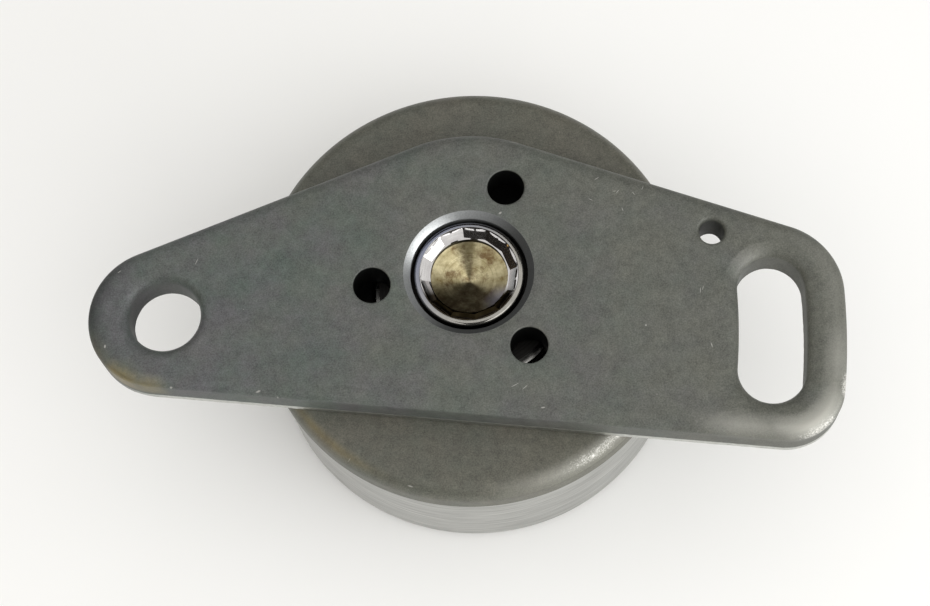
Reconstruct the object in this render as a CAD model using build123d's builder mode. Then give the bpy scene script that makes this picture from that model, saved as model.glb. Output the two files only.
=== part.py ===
# Timing belt tensioner: a stamped plate that swings on a pivot bolt, with a
# smooth idler pulley running on a sealed ball bearing under it.
#
# Millimetres, +Z up. The origin is on the pulley's axis in the middle of its
# width. +X runs from the pivot hole through the pulley to the slot, and
# the plate lies on top, so the face that meets the engine looks up.

from build123d import *
from math import asin, atan2, cos, degrees, hypot, radians, sin
import os

os.makedirs("parts", exist_ok=True)

# Pulley
pulley_width = 25.5
pulley_wall = 6.7  # round the bearing, out to the belt's surface
pulley_rim_rise = 0.5  # the rim beside the face stands proud of the belt's surface
pulley_rim_width = 5.0
pulley_edge_round = 2.6  # between the face and the rim
pulley_foot_round = 1.8
pulley_web_thickness = 4.25
pulley_web_lip = 4.5  # how far the web reaches in over the outer ring
pulley_mouth_chamfer = 0.8

# Plate outline
plate_thickness = 6.0
plate_gap = 0.4  # between the pulley's face and the plate's underside
pivot_distance = 42.8  # pivot hole to pulley axis
pivot_end_radius = 10.1
pivot_end_reach = 0.6  # how far the end's centre lies beyond the hole
pivot_end_drop = 0.15  # and how far it lies towards the lower edge
hub_boss_radius = 20.9
lower_edge_offset = 20.25  # pulley axis to the straight lower edge
upper_edge_angle = 27.0  # fall of the upper edge towards the slot
upper_corner_radius = 10.3
lower_corner_radius = 8.0
edge_roll = 1.2  # soft rim that the blanking die leaves

# Holes in the plate
pivot_hole_radius = 5.0
pivot_hole_roll = 1.3
slot_width = 9.3
slot_reach = 41.4  # pulley axis to the slot's centreline, on the line from the pivot
slot_outer_wall = 5.35
slot_first_angle = 5.6
slot_last_angle = 13.6
slot_roll = 1.5
spring_hole_radius = 1.75
spring_hole_roll = 0.6
spring_hole_margin = 4.4  # in from the upper edge
spring_hole_along = 30.05  # along the upper edge, from beside the hub
vent_hole_radius = 2.6
vent_hole_roll = 0.3
vent_pitch_radius = 13.6
vent_count = 3
vent_first_angle = 60.0
hub_hole_chamfer = 0.9

# Hub stud
journal_radius = 10.0
spigot_step = 1.8  # shoulder that the plate seats on
spigot_press_length = 3.0
neck_gap = 0.5
neck_round = 0.5
lip_depth = 0.7  # lip below the plate's face
lip_width = 1.15
socket_sides = 12
socket_slant = 1.0  # how much the facets close in
socket_slant_depth = 1.0
socket_lip_round = 0.3
pocket_step = 0.15  # facets down to the straight pocket
pocket_depth = 0.85
cone_depth = 1.9
head_step = 1.05  # land of the inner ring that shows round the head
head_thickness = 3.0
head_chamfer = 0.6
head_centre_radius = 2.0

# Spacer between the plate and the bearing
spacer_thickness = 1.5
spacer_step = 1.1  # land of the inner ring that shows round the spacer
spacer_clearance = 0.1

# Ball bearing
bearing_width = 17.0
ball_radius = 3.97
ball_count = 8
ball_play = 0.05  # between a ball and each raceway
race_relief = 0.18  # how much wider a raceway's arc is than a ball
inner_ring_wall = 2.73  # under the raceway
outer_ring_wall = 2.73  # behind the raceway
inner_land_drop = 2.7  # pitch circle down to the inner ring's land
outer_land_rise = 2.65  # pitch circle up to the outer ring's land
ring_chamfer = 0.5

# Seals
seal_inset = 0.6
seal_rubber_thickness = 0.9
seal_core_thickness = 0.4
seal_groove_depth = 1.4
seal_mouth_depth = 1.0
seal_lip_clearance = 0.1
seal_lip_width = 1.25
seal_bead_width = 0.9
seal_dish_depth = 0.3  # shallow dish between the lip and the bead

# Ball cage
cage_thickness = 0.8
cage_half_width = 1.45
pocket_clearance = 0.12
rivet_radius = 0.6
rivet_head_radius = 1.0
rivet_head_height = 0.4

# Radii that follow from the walls, steps and lands above
slot_distance = pivot_distance + slot_reach
end_radius = slot_distance + slot_width / 2 + slot_outer_wall
spigot_radius = journal_radius - spigot_step
neck_radius = spigot_radius - neck_gap
socket_mouth_radius = neck_radius - lip_width
socket_throat_radius = socket_mouth_radius - socket_slant
cone_radius = socket_throat_radius - pocket_step
inner_race_bottom = journal_radius + inner_ring_wall
ball_pitch_radius = inner_race_bottom + ball_play + ball_radius
outer_race_bottom = ball_pitch_radius + ball_radius + ball_play
outer_ring_radius = outer_race_bottom + outer_ring_wall
race_radius = ball_radius + race_relief
inner_ring_radius = ball_pitch_radius - inner_land_drop
outer_land_radius = ball_pitch_radius + outer_land_rise
pulley_radius = outer_ring_radius + pulley_wall
rim_radius = pulley_radius + pulley_rim_rise
web_bore_radius = outer_ring_radius - pulley_web_lip
spacer_radius = inner_ring_radius - spacer_step
head_radius = inner_ring_radius - head_step
seal_groove_radius = outer_land_radius + seal_groove_depth
seal_mouth_radius = outer_land_radius + seal_mouth_depth
seal_lip_radius = inner_ring_radius + seal_lip_clearance
core_inner_radius = seal_lip_radius + seal_lip_width
core_outer_radius = seal_groove_radius - seal_bead_width
cage_inner_radius = ball_pitch_radius - cage_half_width
cage_outer_radius = ball_pitch_radius + cage_half_width
pocket_radius = ball_radius + pocket_clearance

# Levels along the axis, from the pulley's width down through the stack
pulley_top = pulley_width / 2
rim_bottom = pulley_top - pulley_rim_width
plate_bottom = pulley_top + plate_gap
plate_top = plate_bottom + plate_thickness
lip_top = plate_top - lip_depth
socket_throat = lip_top - socket_slant_depth
cone_top = socket_throat - pocket_depth
inner_ring_top = plate_bottom - spacer_thickness
bearing_top = pulley_top - pulley_web_thickness
bearing_bottom = bearing_top - bearing_width
bearing_middle = (bearing_top + bearing_bottom) / 2
head_bottom = bearing_bottom - head_thickness
seat_rise = bearing_width / 2 - seal_inset - seal_rubber_thickness - seal_core_thickness

# Places in the plate
pivot_place = (-pivot_distance, 0)
end_distance = hypot(pivot_distance + pivot_end_reach, pivot_end_drop)
end_tilt = atan2(pivot_end_drop, pivot_distance + pivot_end_reach)
upper_edge_tilt = radians(upper_edge_angle)
spring_hole_depth = hub_boss_radius - spring_hole_margin
spring_hole_place = (
    spring_hole_along * cos(upper_edge_tilt) + spring_hole_depth * sin(upper_edge_tilt),
    spring_hole_depth * cos(upper_edge_tilt) - spring_hole_along * sin(upper_edge_tilt),
)
big = 4 * end_radius  # larger than the plate, for the straight trims


def ring_places(radius, count, first_angle):
    """Points spread evenly on a circle about the pulley's axis."""
    angles = [radians(first_angle + 360 / count * k) for k in range(count)]
    return [(radius * cos(a), radius * sin(a)) for a in angles]


# Plate outline: the disc swung about the pivot, trimmed by three straight edges.
# Two of them are tangent to the boss round the hub and to the pivot's end.
left_edge_angle = degrees(asin((hub_boss_radius - pivot_end_radius) / end_distance) + end_tilt)
lower_edge_angle = degrees(asin((lower_edge_offset - pivot_end_radius) / end_distance) - end_tilt)

with BuildSketch(Plane.XY.offset(plate_bottom)) as outline:
    with Locations(pivot_place):
        Circle(end_radius)
    for edge_angle in (left_edge_angle, -upper_edge_angle):
        with Locations(Location((0, 0, 0), (0, 0, edge_angle))):
            with Locations((0, hub_boss_radius)):
                Rectangle(big, big, align=(Align.CENTER, Align.MAX), mode=Mode.INTERSECT)
    with Locations(Location((0, 0, 0), (0, 0, -lower_edge_angle))):
        with Locations((0, -lower_edge_offset)):
            Rectangle(big, big, align=(Align.CENTER, Align.MIN), mode=Mode.INTERSECT)
    fillet(outline.vertices().sort_by(Axis.X)[0], pivot_end_radius)
    fillet(outline.vertices().sort_by(Axis.X)[-1], upper_corner_radius)
    fillet(outline.vertices().sort_by(Axis.Y)[-1], hub_boss_radius)
    fillet(outline.vertices().sort_by(Axis.Y)[0], lower_corner_radius)

with BuildLine() as slot_path:
    CenterArc(pivot_place, slot_distance, -slot_last_angle, slot_last_angle - slot_first_angle)

with BuildSketch(Plane.XY.offset(plate_bottom)) as slot:
    SlotArc(slot_path.edges()[0], slot_width)

# Base plate, blanked from one sheet: every rim on the upper side is rolled
with BuildPart() as base_plate:
    add(outline.sketch)
    extrude(amount=plate_thickness)
    fillet(base_plate.edges().group_by(Axis.Z)[-1], edge_roll)
    add(slot.sketch)
    extrude(amount=plate_thickness, mode=Mode.SUBTRACT)
    fillet(base_plate.edges(Select.LAST).group_by(Axis.Z)[-1], slot_roll)
    vent_places = ring_places(vent_pitch_radius, vent_count, vent_first_angle)
    round_holes = [
        ([pivot_place], pivot_hole_radius, pivot_hole_roll),
        ([spring_hole_place], spring_hole_radius, spring_hole_roll),
        (vent_places, vent_hole_radius, vent_hole_roll),
    ]
    for places, hole_radius, roll in round_holes:
        with Locations(Plane.XY.offset(plate_top)):
            with Locations(places):
                Hole(hole_radius, depth=plate_thickness)
        fillet(base_plate.edges(Select.LAST).group_by(Axis.Z)[-1], roll)
    with Locations((0, 0, plate_top)):
        Hole(spigot_radius, depth=plate_thickness)
    chamfer(base_plate.edges(Select.LAST).group_by(Axis.Z)[-1], hub_hole_chamfer)

base_plate.part.label = "base_plate"
export_step(base_plate.part, "parts/base_plate.step")

# Hub stud: head under the bearing, journal through it, spigot in the plate
with BuildPart() as hub_stud:
    with BuildSketch(Plane.XZ) as stud_profile:
        with BuildLine():
            Polyline(
                (0, head_bottom),
                (head_radius - head_chamfer, head_bottom),
                (head_radius, head_bottom + head_chamfer),
                (head_radius, bearing_bottom),
                (journal_radius, bearing_bottom),
                (journal_radius, plate_bottom),
                (spigot_radius, plate_bottom),
                (spigot_radius, plate_bottom + spigot_press_length),
                (neck_radius, plate_bottom + spigot_press_length),
                (neck_radius, lip_top),
                (0, lip_top),
                close=True,
            )
        make_face()
    revolve(axis=Axis.Z)
    fillet(hub_stud.edges().group_by(Axis.Z)[-1], neck_round)
    # twelve-sided socket that narrows to a straight pocket with a drilled cone for its floor
    with BuildSketch(Plane.XY.offset(lip_top)) as socket_mouth:
        RegularPolygon(socket_mouth_radius, socket_sides, major_radius=False)
    with BuildSketch(Plane.XY.offset(socket_throat)) as socket_floor:
        RegularPolygon(socket_throat_radius, socket_sides, major_radius=False)
    loft(mode=Mode.SUBTRACT)
    fillet(hub_stud.edges(Select.LAST).group_by(Axis.Z)[-1], socket_lip_round)
    with Locations((0, 0, lip_top)):
        Hole(cone_radius, depth=lip_top - cone_top)
    with Locations((0, 0, cone_top)):
        Cone(
            0,
            cone_radius,
            cone_depth,
            align=(Align.CENTER, Align.CENTER, Align.MAX),
            mode=Mode.SUBTRACT,
        )
    # lathe centre in the head
    with Locations((0, 0, head_bottom)):
        Cone(
            head_centre_radius,
            0,
            head_centre_radius,
            align=(Align.CENTER, Align.CENTER, Align.MIN),
            mode=Mode.SUBTRACT,
        )

hub_stud.part.label = "hub_stud"
export_step(hub_stud.part, "parts/hub_stud.step")

# Spacer washer that holds the plate clear of the pulley
with BuildPart() as spacer_washer:
    with BuildSketch(Plane.XY.offset(inner_ring_top)):
        Circle(spacer_radius)
        Circle(journal_radius + spacer_clearance, mode=Mode.SUBTRACT)
    extrude(amount=spacer_thickness)

spacer_washer.part.label = "spacer_washer"
export_step(spacer_washer.part, "parts/spacer_washer.step")

# Bearing rings, each turned with a deep raceway for the balls
with BuildPart() as inner_ring:
    with BuildSketch(Plane.XZ) as inner_profile:
        with Locations((journal_radius, bearing_bottom)):
            Rectangle(
                inner_ring_radius - journal_radius,
                inner_ring_top - bearing_bottom,
                align=(Align.MIN, Align.MIN),
            )
        chamfer(inner_profile.vertices().group_by(Axis.X)[-1], ring_chamfer)
        with Locations((inner_race_bottom + race_radius, bearing_middle)):
            Circle(race_radius, mode=Mode.SUBTRACT)
    revolve(axis=Axis.Z)

inner_ring.part.label = "inner_ring"
export_step(inner_ring.part, "parts/inner_ring.step")

with BuildPart() as outer_ring:
    with BuildSketch(Plane.XZ) as outer_profile:
        with Locations((outer_ring_radius, bearing_middle)):
            Rectangle(
                outer_ring_radius - outer_land_radius,
                bearing_width,
                align=(Align.MAX, Align.CENTER),
            )
        chamfer(outer_profile.vertices().group_by(Axis.X)[-1], ring_chamfer)
        with Locations((outer_race_bottom - race_radius, bearing_middle)):
            Circle(race_radius, mode=Mode.SUBTRACT)
        # seats that the seals snap into, each behind a narrower mouth
        for side in (1, -1):
            with Locations((outer_land_radius, bearing_middle + side * seat_rise)):
                Rectangle(
                    seal_groove_radius - outer_land_radius,
                    seal_rubber_thickness + seal_core_thickness,
                    align=(Align.MIN, Align.MIN if side > 0 else Align.MAX),
                    mode=Mode.SUBTRACT,
                )
            with Locations((outer_land_radius, bearing_middle + side * bearing_width / 2)):
                Rectangle(
                    seal_mouth_radius - outer_land_radius,
                    seal_inset,
                    align=(Align.MIN, Align.MAX if side > 0 else Align.MIN),
                    mode=Mode.SUBTRACT,
                )
    revolve(axis=Axis.Z)

outer_ring.part.label = "outer_ring"
export_step(outer_ring.part, "parts/outer_ring.step")

# Seals: a steel core disc with rubber bonded over its outer side
for side, name in ((1, "upper"), (-1, "lower")):
    core_level = bearing_middle + side * seat_rise
    rubber_level = core_level + side * seal_core_thickness
    with BuildPart() as seal_core:
        with BuildSketch(Plane.XY.offset(core_level)):
            Circle(core_outer_radius)
            Circle(core_inner_radius, mode=Mode.SUBTRACT)
        extrude(amount=side * seal_core_thickness)
    seal_core.part.label = f"{name}_seal_core"
    export_step(seal_core.part, f"parts/{name}_seal_core.step")

    with BuildPart() as seal:
        with BuildSketch(Plane.XY.offset(rubber_level)):
            Circle(seal_groove_radius)
            Circle(seal_lip_radius, mode=Mode.SUBTRACT)
        extrude(amount=side * seal_rubber_thickness)
        with BuildSketch(Plane.XY.offset(rubber_level + side * seal_rubber_thickness)):
            Circle(core_outer_radius)
            Circle(core_inner_radius, mode=Mode.SUBTRACT)
        extrude(amount=-side * seal_dish_depth, mode=Mode.SUBTRACT)
    seal.part.label = f"{name}_seal"
    export_step(seal.part, f"parts/{name}_seal.step")

# Balls
for k, place in enumerate(ring_places(ball_pitch_radius, ball_count, 0)):
    with BuildPart(Plane.XY.offset(bearing_middle)) as ball:
        with Locations(place):
            Sphere(ball_radius)
    ball.part.label = f"ball_{k + 1}"
    export_step(ball.part, f"parts/ball_{k + 1}.step")

# Cage: two pressed ribbons with a pocket round each ball, riveted face to face
ball_places = ring_places(ball_pitch_radius, ball_count, 0)
rivet_places = ring_places(ball_pitch_radius, ball_count, 180 / ball_count)

for side, name in ((1, "upper"), (-1, "lower")):
    with BuildPart(Plane.XY.offset(bearing_middle)) as cage:
        with Locations(ball_places):
            Sphere(pocket_radius + cage_thickness)
        with BuildSketch(Plane.XY.offset(bearing_middle)):
            Circle(cage_outer_radius)
            Circle(cage_inner_radius, mode=Mode.SUBTRACT)
        extrude(amount=side * bearing_width, mode=Mode.INTERSECT)
        with BuildSketch(Plane.XY.offset(bearing_middle)):
            Circle(cage_outer_radius)
            Circle(cage_inner_radius, mode=Mode.SUBTRACT)
        extrude(amount=side * cage_thickness)
        with Locations(ball_places):
            Sphere(pocket_radius, mode=Mode.SUBTRACT)
        with Locations(rivet_places):
            Cylinder(rivet_radius, 4 * cage_thickness, mode=Mode.SUBTRACT)
    cage.part.label = f"cage_{name}"
    export_step(cage.part, f"parts/cage_{name}.step")

with BuildPart(Plane.XY.offset(bearing_middle)) as cage_rivets:
    with Locations(rivet_places):
        Cylinder(rivet_radius, 2 * cage_thickness)
    for side in (1, -1):
        with BuildSketch(Plane.XY.offset(bearing_middle + side * cage_thickness)):
            with Locations(rivet_places):
                Circle(rivet_head_radius)
        extrude(amount=side * rivet_head_height)

cage_rivets.part.label = "cage_rivets"
export_step(cage_rivets.part, "parts/cage_rivets.step")

# Pulley: one turned piece, open below, with a web that the bearing is pressed against
with BuildPart() as pulley:
    with BuildSketch(Plane.XZ) as pulley_profile:
        with BuildLine():
            Polyline(
                (web_bore_radius, bearing_top),
                (web_bore_radius, pulley_top),
                (rim_radius, pulley_top),
                (rim_radius, rim_bottom),
                (pulley_radius, rim_bottom - pulley_rim_rise),
                (pulley_radius, -pulley_top),
                (outer_ring_radius, -pulley_top),
                (outer_ring_radius, bearing_top),
                close=True,
            )
        make_face()
        fillet(pulley_profile.vertices().group_by(Axis.X)[-1].sort_by(Axis.Y)[-1], pulley_edge_round)
        fillet(pulley_profile.vertices().group_by(Axis.Y)[0].sort_by(Axis.X)[-1], pulley_foot_round)
    revolve(axis=Axis.Z)
    mouth = pulley.edges().filter_by(GeomType.CIRCLE).group_by(Axis.Z)[0].sort_by(SortBy.RADIUS)[0]
    chamfer(mouth, pulley_mouth_chamfer)

pulley.part.label = "pulley"
export_step(pulley.part, "parts/pulley.step")
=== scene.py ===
# %% [markdown]
# # A timing belt tensioner, dressed for a close look
#
# The real thing is a stamped steel plate, dipped in a dark phosphate bath, with a
# smooth idler pulley running on a sealed ball bearing under it. A polished hub stud
# with a twelve-sided socket shows in the middle of the plate.
#
# Almost all of it is steel: phosphated, torn, turned, ground or polished. So this
# lesson is about edges and finishes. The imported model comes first, because every
# piece that is made here has to sit exactly where it says.

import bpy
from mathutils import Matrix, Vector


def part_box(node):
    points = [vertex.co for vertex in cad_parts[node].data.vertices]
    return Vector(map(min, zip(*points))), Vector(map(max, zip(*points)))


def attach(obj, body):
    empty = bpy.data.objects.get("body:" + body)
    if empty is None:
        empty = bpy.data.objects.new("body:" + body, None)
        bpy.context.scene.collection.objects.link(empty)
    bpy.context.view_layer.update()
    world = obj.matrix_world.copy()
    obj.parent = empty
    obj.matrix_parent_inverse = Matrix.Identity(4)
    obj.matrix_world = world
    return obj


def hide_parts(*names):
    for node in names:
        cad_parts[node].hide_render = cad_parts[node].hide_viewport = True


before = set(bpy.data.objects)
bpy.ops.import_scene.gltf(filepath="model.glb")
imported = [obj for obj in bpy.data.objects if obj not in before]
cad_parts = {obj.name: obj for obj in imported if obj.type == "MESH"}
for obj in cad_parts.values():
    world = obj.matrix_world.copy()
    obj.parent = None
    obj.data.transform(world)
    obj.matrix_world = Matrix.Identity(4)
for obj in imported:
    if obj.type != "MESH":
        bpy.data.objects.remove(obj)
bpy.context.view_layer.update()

# %% Modules and units
import math
from functools import partial

import bmesh
import bpy
import numpy as np
from mathutils import Matrix
from mathutils.geometry import delaunay_2d_cdt

MM = 0.001  # the part is drawn in millimetres, Blender works in metres
plate_box = [np.array(corner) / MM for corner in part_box("base_plate")]
pulley_box = [np.array(corner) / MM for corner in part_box("pulley")]
stud_box = [np.array(corner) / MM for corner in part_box("hub_stud")]
PLATE_TOP, PLATE_BOTTOM = plate_box[1][2], plate_box[0][2]
PLATE_THICK = PLATE_TOP - PLATE_BOTTOM
FLOOR_LEVEL = pulley_box[0][2]
print(f"plate from {PLATE_BOTTOM:.2f} to {PLATE_TOP:.2f} mm, floor at {FLOOR_LEVEL:.2f} mm")

# %% [markdown]
# ## A few small helpers
#
# Colours are read off as sRGB hex values, the way a picture shows them, but shaders
# mix light, which adds up linearly. One function turns the one into the other.
#
# Materials are graphs of nodes. A node needs a type, some settings and some links,
# so one function adds any node and takes all three at once.
#
# A mesh is a list of points and a list of faces. One function puts the arrays into
# Blender, turns the faces outward, shades them smooth, and keeps true corners crisp.


# %% Helpers for colours and graphs
def linear(code):
    """Turns an sRGB hex colour into linear RGBA: below 0.04045 divide by 12.92,
    above it ((c + 0.055) / 1.055) to the power 2.4."""
    srgb = np.array([int(code[k:k + 2], 16) for k in (1, 3, 5)]) / 255
    rgb = np.where(srgb <= 0.04045, srgb / 12.92, ((srgb + 0.055) / 1.055) ** 2.4)
    return (*rgb.tolist(), 1.0)


def add_node(tree, kind, links=None, **settings):
    """Adds one shader node. settings are its own properties, and links gives each
    input, by name or number, a plain value, another node's output, or a node, which
    stands for the first of its outputs that is in use."""
    node = tree.nodes.new("ShaderNode" + kind)
    for name, value in settings.items():
        setattr(node, name, value)
    for name, value in (links or {}).items():
        if isinstance(value, bpy.types.Node):
            value = next(socket for socket in value.outputs if socket.enabled)
        if isinstance(value, bpy.types.NodeSocket):
            tree.links.new(value, node.inputs[name])
        else:
            node.inputs[name].default_value = value
    return node


def empty_graph(block):
    """Clears the graph of a material or the world, and gives what adds nodes to it."""
    block.use_nodes = True
    block.node_tree.nodes.clear()
    return partial(add_node, block.node_tree)


def new_material(name):
    """A material with an empty graph, and what adds nodes to it."""
    material = bpy.data.materials.new(name)
    return material, empty_graph(material)


# %% Helpers for objects
def link_object(name, data):
    """An object for a mesh, a lamp or the camera, linked to the scene."""
    made = bpy.data.objects.new(name, data)
    bpy.context.scene.collection.objects.link(made)
    return made


def set_axes(made, x_axis, y_axis, z_axis, place):
    """Turns an object to three unit axes and puts it at a place in metres."""
    turn = np.eye(4)
    turn[:3] = np.column_stack([x_axis, y_axis, z_axis, place])
    made.matrix_world = Matrix(turn.tolist())


def make_piece(name, points, faces, crisp):
    """Makes a closed piece from points in millimetres and faces of point numbers.
    Edges that turn by more than crisp degrees stay sharp."""
    mesh = bpy.data.meshes.new(name)
    mesh.from_pydata((np.asarray(points) * MM).tolist(), [], faces)
    shell = bmesh.new()
    shell.from_mesh(mesh)
    bmesh.ops.recalc_face_normals(shell, faces=shell.faces)
    open_edges = sum(not edge.is_manifold for edge in shell.edges)
    volume = shell.calc_volume() / MM ** 3
    shell.to_mesh(mesh)
    shell.free()
    mesh.polygons.foreach_set("use_smooth", np.ones(len(mesh.polygons), bool))
    mesh.set_sharp_from_angle(angle=math.radians(crisp))
    mesh.calc_loop_triangles()
    print(f"{name}: {len(mesh.loop_triangles)} triangles, {volume:.0f} mm3, open edges: {open_edges}")
    return link_object(name, mesh)


def store(made, **stored):
    """Stores numbers for each point of a piece, by name, for its material to read."""
    for name, values in stored.items():
        attribute = made.data.attributes.new(name, "FLOAT", "POINT")
        attribute.data.foreach_set("value", np.asarray(values, np.float32))
        print(f"{made.name}: {name} on {np.count_nonzero(values)} points")


def unit(degrees_round):
    """The unit vector at an angle from +X, as cosine and sine."""
    angle = math.radians(degrees_round)
    return np.array([math.cos(angle), math.sin(angle)])


def polar(points):
    """Distance from the pulley's axis, bearing in degrees and height of each point."""
    x, y, z = points.T
    return np.hypot(x, y), np.degrees(np.arctan2(y, x)), z


# %% [markdown]
# ## The camera
#
# The picture was taken by hand from about 28 cm, looking down at the plate. Its lens,
# tilt and roll were solved from the round holes, whose true centres are known. The
# camera could be pointed at something, but a rotation matrix built from the three
# solved angles puts it back exactly.

# %% Camera
LENS, SENSOR = 77.42, 36  # mm
TILT, ROLL, YAW = 0.338, 0.132, 0.0057  # radians: from straight above, about the lens, about +Z
DISTANCE = 277.479  # mm, from the lens to the plate's level
SHIFT_RIGHT, SHIFT_UP = 1.088, 4.277  # mm, from the middle of the picture to the hub
NEAREST, FARTHEST = 0.01, 20  # m, what the camera draws

across = np.array([math.cos(YAW), -math.sin(YAW), 0])
ahead = np.array([math.sin(YAW), math.cos(YAW), 0])
above = np.array([0, 0, 1.0])
up = math.cos(TILT) * ahead + math.sin(TILT) * above
back = -math.sin(TILT) * ahead + math.cos(TILT) * above
place = -SHIFT_RIGHT * across - SHIFT_UP * up + DISTANCE * back + PLATE_TOP * above
picture_x = math.cos(ROLL) * across - math.sin(ROLL) * up
picture_y = math.sin(ROLL) * across + math.cos(ROLL) * up

camera_data = bpy.data.cameras.new("camera")
camera_data.lens = LENS
camera_data.sensor_width = SENSOR
camera_data.clip_start, camera_data.clip_end = NEAREST, FARTHEST
camera = link_object("camera", camera_data)
set_axes(camera, picture_x, picture_y, back, place * MM)
bpy.context.scene.camera = camera
bpy.context.scene.view_settings.view_transform = "Standard"
print("camera at", np.round(place, 1), "mm")

# %% [markdown]
# ## Floor and light
#
# The tensioner lies on white paper in a bright room, with a window low down at the
# lower right of the picture. A single hard lamp would draw black shadows that the
# picture doesn't have. So the room is a pale world that lights from everywhere, and
# the window is one broad lamp close by. A weaker lamp high on the near side lifts the
# pulley's wall, and a weak warm one on the left stands for light off a wall. Together
# they add up to a plain level, where a colour renders about as written.

# %% Floor and world
FLOOR_HALF = 1.6  # m
square = np.array([(-1, -1), (1, -1), (1, 1), (-1, 1)]) * FLOOR_HALF
corners = np.column_stack([square, np.full(4, FLOOR_LEVEL * MM)]).tolist()
floor_mesh = bpy.data.meshes.new("paper_floor")
floor_mesh.from_pydata(corners, [], [(0, 1, 2, 3)])
paper_floor = link_object("paper_floor", floor_mesh)

# matt wood-pulp paper: broad, very faint clouds 60 mm wide and nothing finer
paper, add = new_material("white_paper")
where = add("TexCoord").outputs["Object"]
clouds = add("TexNoise", {"Vector": where, "Scale": 1 / (60 * MM), "Detail": 3.0})
tint = add("Mix", {0: clouds, 6: linear("#f4f4f2"), 7: linear("#f8f8f7")}, data_type="RGBA")
sheet = add("BsdfDiffuse", {"Color": tint})
add("OutputMaterial", {"Surface": sheet})
floor_mesh.materials.append(paper)

ROOM_LEVEL = 0.9
world = bpy.data.worlds.new("bright_room")
bpy.context.scene.world = world
add = empty_graph(world)
room = add("Background", {"Color": linear("#fffefc"), "Strength": ROOM_LEVEL})
add("OutputWorld", {"Surface": room})
print("paper:", 2 * FLOOR_HALF, "m wide, room level:", ROOM_LEVEL)

# %% Dark screens
# Polished steel only looks polished with something dark to mirror. A low dark screen
# stands round the table on all sides but the window's, as furniture does, and it is
# highest at the back, where the drilled cone looks. A narrow card just behind the lens
# does what black flags do in a studio. Only mirrored rays see them, so the paper
# loses no light to them.
SCREEN_FIRST, SCREEN_LAST, SCREEN_POSTS = 8, 282, 60  # bearings, and points between them
SCREEN_DISTANCE, SCREEN_HEIGHT = 1.3, 0.8  # m
PEAK_RISE, PEAK_BEARING, PEAK_HALF = 2.0, 75, 38  # m, degrees, degrees
CARD_BEHIND, CARD_HALF, CARD_LOW, CARD_HIGH = 0.03, 0.075, -0.28, 0.08  # m, from the lens
bearings = np.linspace(SCREEN_FIRST, SCREEN_LAST, SCREEN_POSTS)
around = np.radians(bearings)
ring = np.stack([np.cos(around), np.sin(around)], axis=1) * SCREEN_DISTANCE
lower = np.column_stack([ring, np.full(SCREEN_POSTS, FLOOR_LEVEL * MM)])
rise = SCREEN_HEIGHT + PEAK_RISE * np.exp(-((bearings - PEAK_BEARING) / PEAK_HALF) ** 4)
upper = lower + np.column_stack([ring * 0, rise])
screen_faces = [(k, k + 1, k + 1 + SCREEN_POSTS, k + SCREEN_POSTS) for k in range(SCREEN_POSTS - 1)]
card = place * MM + back * CARD_BEHIND + np.array([
    x * across * CARD_HALF + y * up
    for x, y in ((-1, CARD_LOW), (1, CARD_LOW), (1, CARD_HIGH), (-1, CARD_HIGH))
])
# wool cloth, dyed nearly black: no gloss, and only its darkness counts
dark_cloth, add = new_material("dark_cloth")
cloth = add("BsdfDiffuse", {"Color": linear("#2b2927")})
add("OutputMaterial", {"Surface": cloth})
for name, points, faces in (
    ("room_screen", np.concatenate([lower, upper]), screen_faces),
    ("lens_card", card, [(0, 1, 2, 3)]),
):
    mesh = bpy.data.meshes.new(name)
    mesh.from_pydata(points.tolist(), [], faces)
    mesh.materials.append(dark_cloth)
    screen = link_object(name, mesh)
    screen.visible_camera = screen.visible_diffuse = screen.visible_shadow = False
    print(f"{name}: up to {points[:, 2].max():.2f} m")


# %% Lamps
def panel(name, colour, bearing, height, distance, width, tall, watts):
    """A lamp width by tall metres, at a bearing from +X and a height angle, both in
    degrees, that faces the hub from a distance in metres."""
    lamp = bpy.data.lights.new(name, "AREA")
    lamp.shape, lamp.size, lamp.size_y = "RECTANGLE", width, tall
    lamp.energy, lamp.color = watts, linear(colour)[:3]
    climb = math.radians(height)
    toward = np.array([*(unit(bearing) * math.cos(climb)), math.sin(climb)])
    side = np.cross(above, toward)
    side /= np.linalg.norm(side)
    made = link_object(name, lamp)
    set_axes(made, side, np.cross(toward, side), toward, toward * distance)
    made.visible_camera = False
    print(f"{name}: {watts} W at {distance} m")


panel("window", "#ffffff",
      bearing=-40, height=14, distance=0.5, width=0.64, tall=0.24, watts=1.35)
panel("upper_window", "#ffffff",
      bearing=-70, height=55, distance=0.48, width=0.5, tall=0.26, watts=0.32)
panel("warm_wall", "#ffcf7d",
      bearing=194, height=9, distance=0.55, width=0.34, tall=0.12, watts=0.09)

# %% [markdown]
# ## The plate: rims first
#
# A press cuts such a plate from sheet in one stroke. The punch pulls the metal down
# before it shears, so every upper rim has a soft roll, wider than it is deep. Below
# the roll comes a smooth wall, and then a rougher strip where the steel tore.
#
# A Bevel modifier would give round rims only. Here each rim is a profile carried
# along its loop instead: a loop is a row of points, each with an arrow into the
# steel, and a profile says how far in and how far down each row of the rim lies.

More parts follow.
